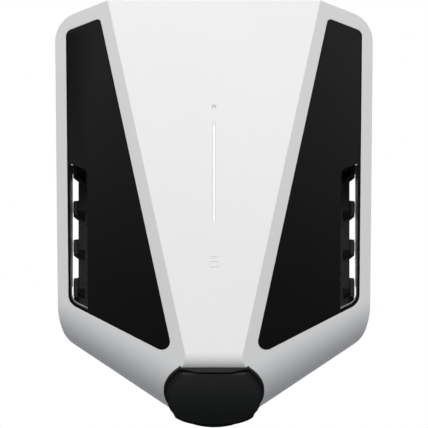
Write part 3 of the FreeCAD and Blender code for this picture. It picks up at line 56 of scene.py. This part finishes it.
# Lamps: place, target and size in metres
CENTRE = (0.0, 0.0, 0.0)
KEY_LAMP = ((0.0, -1.42, 0.92), CENTRE, (1.4, 0.7))
BACK_LAMP = ((0.0, 1.4, 0.6), CENTRE, (1.2, 0.8))
SIDE_LAMP = ((1.0, -0.05, -0.17), (0.08, -0.04, 0.0), (0.6, 0.2))
GLINT_LAMP = ((1.0, 0.17, 0.16), (0.08, -0.06, 0.05), (0.5, 0.4))
KEY_TINT = (1.0, 0.988, 0.965)
SIDE_TINT = (0.94, 0.96, 1.0)
SKY_TINT = (0.95, 0.97, 1.0, 1.0)
WHITE = (1.0, 1.0, 1.0, 1.0)
SKY_EDGE = -0.35
FLOOR_HALF_WIDTH = 2.2
FLOOR_BOUNCE = (0.12, 0.13, 0.147, 1)
FLOOR_GLOW = 0.45


class FinishSettings(bpy.types.PropertyGroup):
    cover_colour: bpy.props.FloatVectorProperty(
        name="Cover colour", description="Colour of the white moulded cover",
        default=(0.83, 0.83, 0.83), subtype="COLOR", min=0.0, max=1.0)
    cover_specular: bpy.props.FloatProperty(
        name="Cover specular", description="How strongly the white cover mirrors its surroundings",
        default=0.015, subtype="FACTOR", min=0.0, max=1.0)
    cover_roughness: bpy.props.FloatProperty(
        name="Cover roughness", description="How matt the white cover is",
        default=0.42, subtype="FACTOR", min=0.0, max=1.0)
    shell_colour: bpy.props.FloatVectorProperty(
        name="Shell colour", description="Colour of the black shell behind the windows",
        default=(0.0025, 0.0025, 0.0026), subtype="COLOR", min=0.0, max=1.0)
    shell_roughness: bpy.props.FloatProperty(
        name="Shell roughness", description="How matt the black shell is",
        default=0.36, subtype="FACTOR", min=0.0, max=1.0)
    flap_colour: bpy.props.FloatVectorProperty(
        name="Flap colour", description="Colour of the socket flap",
        default=(0.035, 0.0357, 0.0348), subtype="COLOR", min=0.0, max=1.0)
    flap_roughness: bpy.props.FloatProperty(
        name="Flap roughness", description="How matt the socket flap is",
        default=0.5, subtype="FACTOR", min=0.0, max=1.0)
    black_specular: bpy.props.FloatProperty(
        name="Black specular", description="How strongly the black faces mirror their surroundings",
        default=0.012, subtype="FACTOR", min=0.0, max=1.0)
    socket_shade: bpy.props.FloatProperty(
        name="Socket shade", description="How dark the socket is beside the flap",
        default=0.8, subtype="FACTOR", min=0.0, max=1.0)
    plate_colour: bpy.props.FloatVectorProperty(
        name="Plate colour", description="Colour of the back plate and its saddle",
        default=(0.05, 0.05, 0.052), subtype="COLOR", min=0.0, max=1.0)
    rubber_colour: bpy.props.FloatVectorProperty(
        name="Rubber colour", description="Colour of the seals and grommets",
        default=(0.014, 0.014, 0.014), subtype="COLOR", min=0.0, max=1.0)
    light_colour: bpy.props.FloatVectorProperty(
        name="Light bar colour", description="Colour of the light bar when it is off",
        default=(0.965, 0.965, 0.965), subtype="COLOR", min=0.0, max=1.0)
    grain_size: bpy.props.FloatProperty(
        name="Grain size", description="Size of the fine grain on the moulded faces",
        default=0.0004, unit="LENGTH", min=0.0001, max=0.01)


class StageSettings(bpy.types.PropertyGroup):
    camera_distance: bpy.props.FloatProperty(
        name="Camera distance", description="Distance from the wall plane to the camera",
        default=2.0, unit="LENGTH", min=0.2)
    camera_lens: bpy.props.FloatProperty(
        name="Camera lens", description="Focal length of the camera",
        default=270.98, unit="CAMERA", min=10.0)
    floor_level: bpy.props.FloatProperty(
        name="Floor level", description="Height of the floor under the box",
        default=-0.32, unit="LENGTH")
    key_power: bpy.props.FloatProperty(
        name="Key power", description="Power of the large lamp in front and above",
        default=22.7, unit="POWER", min=0.0)
    side_power: bpy.props.FloatProperty(
        name="Side power", description="Power of each soft lamp at the sides",
        default=1.32, unit="POWER", min=0.0)
    glint_power: bpy.props.FloatProperty(
        name="Glint power", description="Power of each lamp that is only mirrored in the dark windows",
        default=7.0, unit="POWER", min=0.0)
    back_power: bpy.props.FloatProperty(
        name="Back power", description="Power of the weak lamp behind the wall plane",
        default=7.0, unit="POWER", min=0.0)
    sky_strength: bpy.props.FloatProperty(
        name="Sky strength", description="Strength of the soft light in front and above",
        default=0.5, min=0.0)
    sky_way: bpy.props.FloatVectorProperty(
        name="Sky direction", description="Direction from which the soft light is strongest",
        default=(0.0, -0.8, 0.6), subtype="DIRECTION")


class Shader:
    """Small builder for one material's nodes."""

    def __init__(self, name):
        self.material = bpy.data.materials.new(name)
        self.material.use_nodes = True
        self.tree = self.material.node_tree
        self.surface = self.tree.nodes["Principled BSDF"]
        self.where = self.add("ShaderNodeTexCoord").outputs["Object"]

    def add(self, kind, **inputs):
        node = self.tree.nodes.new(kind)
        for key, value in inputs.items():
            if key in node.bl_rna.properties:
                setattr(node, key, value)
        return node

    def put(self, socket, value):
        if isinstance(value, bpy.types.NodeSocket):
            self.tree.links.new(value, socket)
        else:
            socket.default_value = value

    def noise(self, scale, detail=3.0, rough=0.5, where=None):
        node = self.add("ShaderNodeTexNoise")
        self.put(node.inputs["Vector"], where or self.where)
        node.inputs["Scale"].default_value = scale
        node.inputs["Detail"].default_value = detail
        node.inputs["Roughness"].default_value = rough
        return node.outputs["Fac"]

    def cells(self, scale, feature="F1", where=None):
        node = self.add("ShaderNodeTexVoronoi", feature=feature)
        self.put(node.inputs["Vector"], where or self.where)
        node.inputs["Scale"].default_value = scale
        return node.outputs["Distance"]

    def stretched(self, x, y, z):
        node = self.add("ShaderNodeMapping")
        self.put(node.inputs["Vector"], self.where)
        node.inputs["Scale"].default_value = (x, y, z)
        return node.outputs["Vector"]

    def part(self, index, where=None):
        node = self.add("ShaderNodeSeparateXYZ")
        self.put(node.inputs["Vector"], where or self.where)
        return node.outputs[index]

    def math(self, operation, a, b=0.0, c=0.0):
        node = self.add("ShaderNodeMath", operation=operation)
        for socket, value in zip(node.inputs, (a, b, c)):
            self.put(socket, value)
        return node.outputs["Value"]

    def span(self, value, low, high, to_low, to_high):
        node = self.add("ShaderNodeMapRange")
        for socket, given in zip(node.inputs, (value, low, high, to_low, to_high)):
            self.put(socket, given)
        return node.outputs["Result"]

    def blend(self, factor, a, b):
        node = self.add("ShaderNodeMix", data_type="RGBA")
        self.put(node.inputs["Factor"], factor)
        self.put(node.inputs[6], a)
        self.put(node.inputs[7], b)
        return node.outputs[2]

    def relief(self, height, depth, soften=0.0004):
        """Bump of the given depth in metres over edges softened by a small radius."""
        edge = self.add("ShaderNodeBevel")
        edge.samples = 4
        edge.inputs["Radius"].default_value = soften
        node = self.add("ShaderNodeBump")
        self.put(node.inputs["Height"], height)
        self.put(node.inputs["Normal"], edge.outputs["Normal"])
        node.inputs["Distance"].default_value = depth
        node.inputs["Strength"].default_value = 1.0
        self.put(self.surface.inputs["Normal"], node.outputs["Normal"])

    def set(self, **values):
        names = {"colour": "Base Color", "roughness": "Roughness", "metal": "Metallic",
                 "specular": "Specular IOR Level", "coat": "Coat Weight", "coat_roughness": "Coat Roughness",
                 "emission": "Emission Color", "emission_strength": "Emission Strength",
                 "subsurface": "Subsurface Weight", "subsurface_scale": "Subsurface Scale",
                 "subsurface_radius": "Subsurface Radius"}
        for key, value in values.items():
            self.put(self.surface.inputs[names[key]], value)
        return self


def rgba(colour, factor=1.0):
    return tuple(min(1.0, c * factor) for c in colour) + (1.0,)


def dress(names, material):
    for name in names:
        mesh = PARTS[name].data
        mesh.materials.clear()
        mesh.materials.append(material)


def moulded(name, colour, roughness, grain, depth, spread=0.04, soften=0.0005, specular=0.5):
    """Injection-moulded plastic: fine eroded grain, faint flow clouds and small changes of gloss."""
    s = Shader(name)
    fine = s.noise(0.35 / grain, 2.0, 0.6)
    clouds = s.noise(14.0, 4.0, 0.55)
    pores = s.cells(0.22 / grain)
    tone = s.math("ADD", s.math("MULTIPLY", clouds, 0.75), s.math("MULTIPLY", fine, 0.25))
    light = s.span(tone, 0.3, 0.7, 0.0, 1.0)
    s.set(colour=s.blend(light, rgba(colour, 1 - spread), rgba(colour, 1 + spread)),
          roughness=s.span(tone, 0.3, 0.7, roughness - 0.03, roughness + 0.04), specular=specular)
    s.relief(s.math("ADD", fine, s.math("MULTIPLY", pores, 0.5)), depth, soften)
    return s.material


def crowned_cap(name, look):
    """Fine-grained black plastic with a crowned face; its turned-down rim is painted darker, as painted
    shade.
    """
    s = Shader(name)
    fine = s.noise(0.5 / look.grain_size, 2.0, 0.6)
    clouds = s.noise(30.0, 4.0, 0.55)
    down = s.math("MULTIPLY", s.math("ADD", s.part(1), -SOCKET_Y), -math.sin(SOCKET_TILT))
    lift = s.math("MULTIPLY", s.math("ADD", s.part(2), -SOCKET_Z), math.cos(SOCKET_TILT))
    up = s.math("ADD", down, lift)
    reach = s.math("SQRT", s.math("ADD", s.math("POWER", s.part(0), 2.0), s.math("POWER", up, 2.0)))
    painted_shade_rim = s.span(reach, FLAP_SHADE_FROM, FLAP_SHADE_TO, 0.0, 1.0)
    tone = s.math("ADD", s.math("MULTIPLY", clouds, 0.7), s.math("MULTIPLY", fine, 0.3))
    face = s.blend(s.span(tone, 0.35, 0.65, 0.0, 1.0),
                   rgba(look.flap_colour, 0.94), rgba(look.flap_colour, 1.06))
    # Painted shade: the rim is drawn at 0.45 of the flap colour
    s.set(colour=s.blend(painted_shade_rim, face, rgba(look.flap_colour, 0.45)),
          roughness=s.span(tone, 0.3, 0.7, look.flap_roughness - 0.03, look.flap_roughness + 0.05),
          specular=look.black_specular * 0.1)
    s.relief(fine, 0.000008, 0.0005)
    return s.material


def rubber(name, colour):
    s = Shader(name)
    dust = s.noise(60.0, 6.0, 0.6)
    skin = s.noise(1800.0, 2.0)
    s.set(colour=s.blend(s.span(dust, 0.45, 0.75, 0.0, 1.0), rgba(colour), rgba(colour, 1.9)),
          roughness=s.span(dust, 0.3, 0.7, 0.68, 0.85), specular=0.35)
    s.relief(skin, 0.00004, 0.0003)
    return s.material


def turned_steel(name, colour, roughness):
    """Zinc-plated or drawn steel with fine lines and faint stains."""
    s = Shader(name)
    lines = s.noise(900.0, 3.0, 0.6, s.stretched(1.0, 0.08, 1.0))
    stain = s.noise(120.0, 4.0)
    s.set(colour=s.blend(s.span(stain, 0.35, 0.7, 0.0, 1.0), rgba(colour), rgba(colour, 0.82)), metal=1.0,
          roughness=s.span(lines, 0.3, 0.7, roughness - 0.06, roughness + 0.1))
    s.relief(lines, 0.00002, 0.0002)
    return s.material


def circuit_board(name):
    """Green solder mask over copper tracks, with tinned pads."""
    s = Shader(name)
    x, z = s.part(0), s.part(2)
    tracks = s.cells(260.0, "DISTANCE_TO_EDGE", s.stretched(1.0, 0.0, 0.35))
    line = s.span(tracks, 0.02, 0.06, 1.0, 0.0)
    grid = s.math("MULTIPLY", s.math("PINGPONG", x, 0.0025), s.math("PINGPONG", z, 0.0025))
    pad = s.span(grid, 0.0, 0.0000006, 1.0, 0.0)
    mask = s.blend(line, (0.008, 0.07, 0.022, 1), (0.02, 0.16, 0.05, 1))
    s.set(colour=s.blend(s.math("MULTIPLY", pad, 0.8), mask, (0.6, 0.58, 0.5, 1)),
          roughness=s.span(line, 0.0, 1.0, 0.42, 0.3), coat=0.3)
    s.relief(line, 0.00004, 0.0002)
    return s.material


def light_bar(name, colour):
    """Milky light guide: soft depth and fine ribs that spread the light."""
    s = Shader(name)
    ribs = s.math("SINE", s.math("MULTIPLY", s.part(2), RIB_WAVE))
    haze = s.noise(400.0, 3.0)
    s.set(colour=s.blend(s.span(haze, 0.3, 0.7, 0.0, 1.0), rgba(colour, 0.97), rgba(colour, 1.03)),
          roughness=s.span(haze, 0.3, 0.7, 0.3, 0.4), specular=0.2, subsurface=0.08, subsurface_scale=0.001,
          subsurface_radius=(1.0, 1.0, 1.0))
    s.relief(s.math("MULTIPLY", ribs, 0.2), 0.00002, 0.0002)
    return s.material


def smoked_lens(name):
    """Domed lens drawn lighter at the centre as a painted highlight and darker towards its edge as painted
    shade.
    """
    s = Shader(name)
    x, z = s.part(0), s.part(2)
    across = s.math("SUBTRACT", z, LENS_Z)
    radius = s.math("SQRT", s.math("ADD", s.math("MULTIPLY", x, x), s.math("MULTIPLY", across, across)))
    edge_shade_mask = s.span(radius, LENS_SHADE_FROM, LENS_SHADE_TO, 0.0, 1.0)
    haze = s.noise(900.0, 2.0)
    # Painted highlight at the centre, painted shade towards the edge
    highlight_and_shade = s.blend(edge_shade_mask, (0.62, 0.63, 0.65, 1), (0.46, 0.47, 0.485, 1))
    s.set(colour=s.blend(s.math("MULTIPLY", haze, 0.2), highlight_and_shade, (0.8, 0.8, 0.82, 1)),
          roughness=s.span(haze, 0.3, 0.7, 0.18, 0.26), coat=0.35, coat_roughness=0.1)
    s.relief(haze, 0.000005, 0.0003)
    return s.material


class WALLBOX_OT_white_cover(bpy.types.Operator):
    """Give the faceted front cover its white moulded finish"""
    bl_idname = "wallbox.white_cover"
    bl_label = "White Cover"

    def execute(self, context):
        look = context.scene.wallbox_finish
        dress(WHITE_MOULDING, moulded("white_satin_plastic", look.cover_colour, look.cover_roughness,
                                      look.grain_size, depth=0.000012, spread=0.012, soften=0.0007,
                                      specular=look.cover_specular))
        return {"FINISHED"}


class WALLBOX_OT_black_shells(bpy.types.Operator):
    """Give the electronics unit, the socket and the flap their black finish"""
    bl_idname = "wallbox.black_shells"
    bl_label = "Black Shells"

    def execute(self, context):
        look = context.scene.wallbox_finish
        dress(BLACK_MOULDING, moulded("black_eroded_plastic", look.shell_colour, look.shell_roughness,
                                      look.grain_size, depth=0.000014, spread=0.1,
                                      specular=look.black_specular))
        socket_colour = rgba(look.flap_colour, look.socket_shade)[:3]
        dress(SOCKET_MOULDING, moulded("black_socket_plastic", socket_colour, look.flap_roughness + 0.05,
                                       look.grain_size, depth=0.00001, spread=0.1, soften=0.0003,
                                       specular=look.black_specular))
        dress(FLAP_MOULDING, crowned_cap("black_flap_plastic", look))
        dress(CORES, moulded("black_core_plastic", (0.012, 0.012, 0.012), 0.5, 0.0005,
                             depth=0.00001, spread=0.12))
        return {"FINISHED"}


class WALLBOX_OT_back_plate(bpy.types.Operator):
    """Give the back plate and its saddle a coarse dark plastic"""
    bl_idname = "wallbox.back_plate"
    bl_label = "Back Plate"

    def execute(self, context):
        look = context.scene.wallbox_finish
        dress(PLATE_MOULDING, moulded("dark_plate_plastic", look.plate_colour, 0.5, 0.0007,
                                      depth=0.00002, spread=0.12, specular=0.25))
        return {"FINISHED"}


class WALLBOX_OT_rubber_seals(bpy.types.Operator):
    """Give the seals and grommets a matt rubber"""
    bl_idname = "wallbox.rubber_seals"
    bl_label = "Rubber Seals"

    def execute(self, context):
        dress(RUBBER, rubber("seal_rubber", context.scene.wallbox_finish.rubber_colour))
        return {"FINISHED"}


class WALLBOX_OT_metal_parts(bpy.types.Operator):
    """Give screws, spring, pins and contacts their metal"""
    bl_idname = "wallbox.metal_parts"
    bl_label = "Metal Parts"

    def execute(self, context):
        dress(SCREWS, turned_steel("zinc_plated_steel", (0.62, 0.63, 0.62), 0.34))
        dress(BRIGHT_STEEL, turned_steel("drawn_steel", (0.68, 0.68, 0.67), 0.22))
        dress(CONTACTS, turned_steel("silvered_contact", (0.78, 0.76, 0.72), 0.24))
        return {"FINISHED"}


class WALLBOX_OT_inner_parts(bpy.types.Operator):
    """Give the boards, relays, terminal and connectors their finishes"""
    bl_idname = "wallbox.inner_parts"
    bl_label = "Inner Parts"

    def execute(self, context):
        dress(INSULATORS, moulded("grey_insulator_plastic", (0.2, 0.205, 0.21), 0.5, 0.0005,
                                  depth=0.00001, spread=0.05))
        dress(DARK_BLOCKS, moulded("relay_case_plastic", (0.02, 0.02, 0.02), 0.46, 0.0005,
                                   depth=0.00001, spread=0.08))
        dress(BOARDS, circuit_board("green_solder_mask"))
        return {"FINISHED"}


class WALLBOX_OT_light_and_lens(bpy.types.Operator):
    """Give the light bar and the sensor lens their clear plastics"""
    bl_idname = "wallbox.light_and_lens"
    bl_label = "Light Bar and Lens"

    def execute(self, context):
        dress(("light_guide",), light_bar("milky_light_guide", context.scene.wallbox_finish.light_colour))
        dress(("sensor_lens",), smoked_lens("sensor_lens_plastic"))
        return {"FINISHED"}


class WALLBOX_OT_smooth_shading(bpy.types.Operator):
    """Smooth the curved faces; the creases stay sharp as the CAD model has them"""
    bl_idname = "wallbox.smooth_shading"
    bl_label = "Smooth Shading"

    def execute(self, context):
        for part in PARTS.values():
            part.data.polygons.foreach_set("use_smooth", [True] * len(part.data.polygons))
        return {"FINISHED"}


def floor_material():
    """Pale floor that keeps the shadow and throws only a little light back up."""
    s = Shader("pale_floor")
    tone = s.noise(3.0, 3.0)
    seen = s.add("ShaderNodeLightPath").outputs
    shown = s.math("MAXIMUM", seen["Is Camera Ray"],
                   s.math("MAXIMUM", seen["Is Glossy Ray"], seen["Is Transmission Ray"]))
    pale = s.blend(s.span(tone, 0.3, 0.7, 0.0, 1.0), (0.55, 0.55, 0.55, 1), (0.58, 0.58, 0.58, 1))
    s.set(colour=s.blend(shown, FLOOR_BOUNCE, pale), roughness=0.9, specular=0.1,
          emission=WHITE, emission_strength=s.math("MULTIPLY", shown, FLOOR_GLOW))
    return s.material


def area_lamp(name, kind, power, side=1):
    """Rectangular lamp of one of the kinds above; side=-1 mirrors it to the other side."""
    place, target, size = kind
    place = Vector((side * place[0], place[1], place[2]))
    target = Vector((side * target[0], target[1], target[2]))
    data = bpy.data.lights.new(name, "AREA")
    data.shape = "RECTANGLE"
    data.size, data.size_y = size
    data.energy = power
    lamp = bpy.data.objects.new(name, data)
    lamp.location = place
    lamp.rotation_euler = (target - place).to_track_quat("-Z", "Y").to_euler()
    bpy.context.scene.collection.objects.link(lamp)
    return lamp


class WALLBOX_OT_stage(bpy.types.Operator):
    """Set the floor, the soft lamps, the white surround and the camera"""
    bl_idname = "wallbox.stage"
    bl_label = "Stage"

    def execute(self, context):
        stage = context.scene.wallbox_stage
        self.floor(stage)
        self.world(context.scene, stage)
        key = area_lamp("key_lamp", KEY_LAMP, stage.key_power)
        key.data.color = KEY_TINT
        area_lamp("back_lamp", BACK_LAMP, stage.back_power)
        for side in (-1, 1):
            soft = area_lamp("side_lamp", SIDE_LAMP, stage.side_power, side)
            soft.visible_glossy = False
            soft.data.color = SIDE_TINT
            glint = area_lamp("glint_lamp", GLINT_LAMP, stage.glint_power, side)
            glint.visible_diffuse = False
        data = bpy.data.cameras.new("photo_camera")
        data.lens = stage.camera_lens
        camera = bpy.data.objects.new("photo_camera", data)
        camera.location = (0.0, -stage.camera_distance, 0.0)
        camera.rotation_euler = (math.radians(90), 0.0, 0.0)
        context.scene.collection.objects.link(camera)
        context.scene.camera = camera
        context.scene.view_settings.view_transform = "Standard"
        return {"FINISHED"}

    def floor(self, stage):
        mesh = bpy.data.meshes.new("floor")
        plan = bmesh.new()
        bmesh.ops.create_grid(plan, x_segments=8, y_segments=8, size=FLOOR_HALF_WIDTH)
        plan.to_mesh(mesh)
        plan.free()
        floor = bpy.data.objects.new("floor", mesh)
        floor.location = (0.0, 0.0, stage.floor_level)
        mesh.materials.append(floor_material())
        bpy.context.scene.collection.objects.link(floor)

    def world(self, scene, stage):
        """Soft light from in front and above; plain white for camera, mirror and clear rays."""
        world = bpy.data.worlds.new("studio")
        scene.world = world
        world.use_nodes = True
        tree = world.node_tree
        tree.nodes.clear()
        out = tree.nodes.new("ShaderNodeOutputWorld")
        soft = tree.nodes.new("ShaderNodeBackground")
        soft.inputs["Color"].default_value = SKY_TINT
        way = tree.nodes.new("ShaderNodeVectorMath")
        way.operation = "DOT_PRODUCT"
        way.inputs[1].default_value = stage.sky_way
        tree.links.new(tree.nodes.new("ShaderNodeTexCoord").outputs["Generated"], way.inputs[0])
        rise = tree.nodes.new("ShaderNodeMapRange")
        for socket, value in zip(rise.inputs[1:5], (SKY_EDGE, 1.0, 0.0, stage.sky_strength)):
            socket.default_value = value
        tree.links.new(way.outputs["Value"], rise.inputs["Value"])
        tree.links.new(rise.outputs["Result"], soft.inputs["Strength"])
        white = tree.nodes.new("ShaderNodeBackground")
        white.inputs["Color"].default_value = WHITE
        white.inputs["Strength"].default_value = 1.0
        path = tree.nodes.new("ShaderNodeLightPath").outputs
        mirrored = self.greatest(tree, path["Is Glossy Ray"], path["Is Transmission Ray"])
        mix = tree.nodes.new("ShaderNodeMixShader")
        tree.links.new(self.greatest(tree, path["Is Camera Ray"], mirrored), mix.inputs["Fac"])
        tree.links.new(soft.outputs["Background"], mix.inputs[1])
        tree.links.new(white.outputs["Background"], mix.inputs[2])
        tree.links.new(mix.outputs["Shader"], out.inputs["Surface"])

    def greatest(self, tree, a, b):
        node = tree.nodes.new("ShaderNodeMath")
        node.operation = "MAXIMUM"
        tree.links.new(a, node.inputs[0])
        tree.links.new(b, node.inputs[1])
        return node.outputs["Value"]


class WALLBOX_PT_panel(bpy.types.Panel):
    bl_label = "Wallbox"
    bl_idname = "WALLBOX_PT_panel"
    bl_space_type = "VIEW_3D"
    bl_region_type = "UI"
    bl_category = "Wallbox"

    def draw(self, context):
        layout = self.layout
        for group in (context.scene.wallbox_finish, context.scene.wallbox_stage):
            for name in group.__annotations__:
                layout.prop(group, name)
        for operator in OPERATORS:
            layout.operator(operator.bl_idname)


OPERATORS = (
    WALLBOX_OT_white_cover,
    WALLBOX_OT_black_shells,
    WALLBOX_OT_back_plate,
    WALLBOX_OT_rubber_seals,
    WALLBOX_OT_metal_parts,
    WALLBOX_OT_inner_parts,
    WALLBOX_OT_light_and_lens,
    WALLBOX_OT_smooth_shading,
    WALLBOX_OT_stage,
)
CLASSES = (FinishSettings, StageSettings) + OPERATORS + (WALLBOX_PT_panel,)


def register():
    for cls in CLASSES:
        bpy.utils.register_class(cls)
    bpy.types.Scene.wallbox_finish = bpy.props.PointerProperty(type=FinishSettings)
    bpy.types.Scene.wallbox_stage = bpy.props.PointerProperty(type=StageSettings)


def unregister():
    del bpy.types.Scene.wallbox_stage
    del bpy.types.Scene.wallbox_finish
    for cls in reversed(CLASSES):
        bpy.utils.unregister_class(cls)


def main():
    register()
    for operator in OPERATORS:
        getattr(bpy.ops.wallbox, operator.bl_idname.split(".")[1])()


if __name__ == "__main__":
    main()
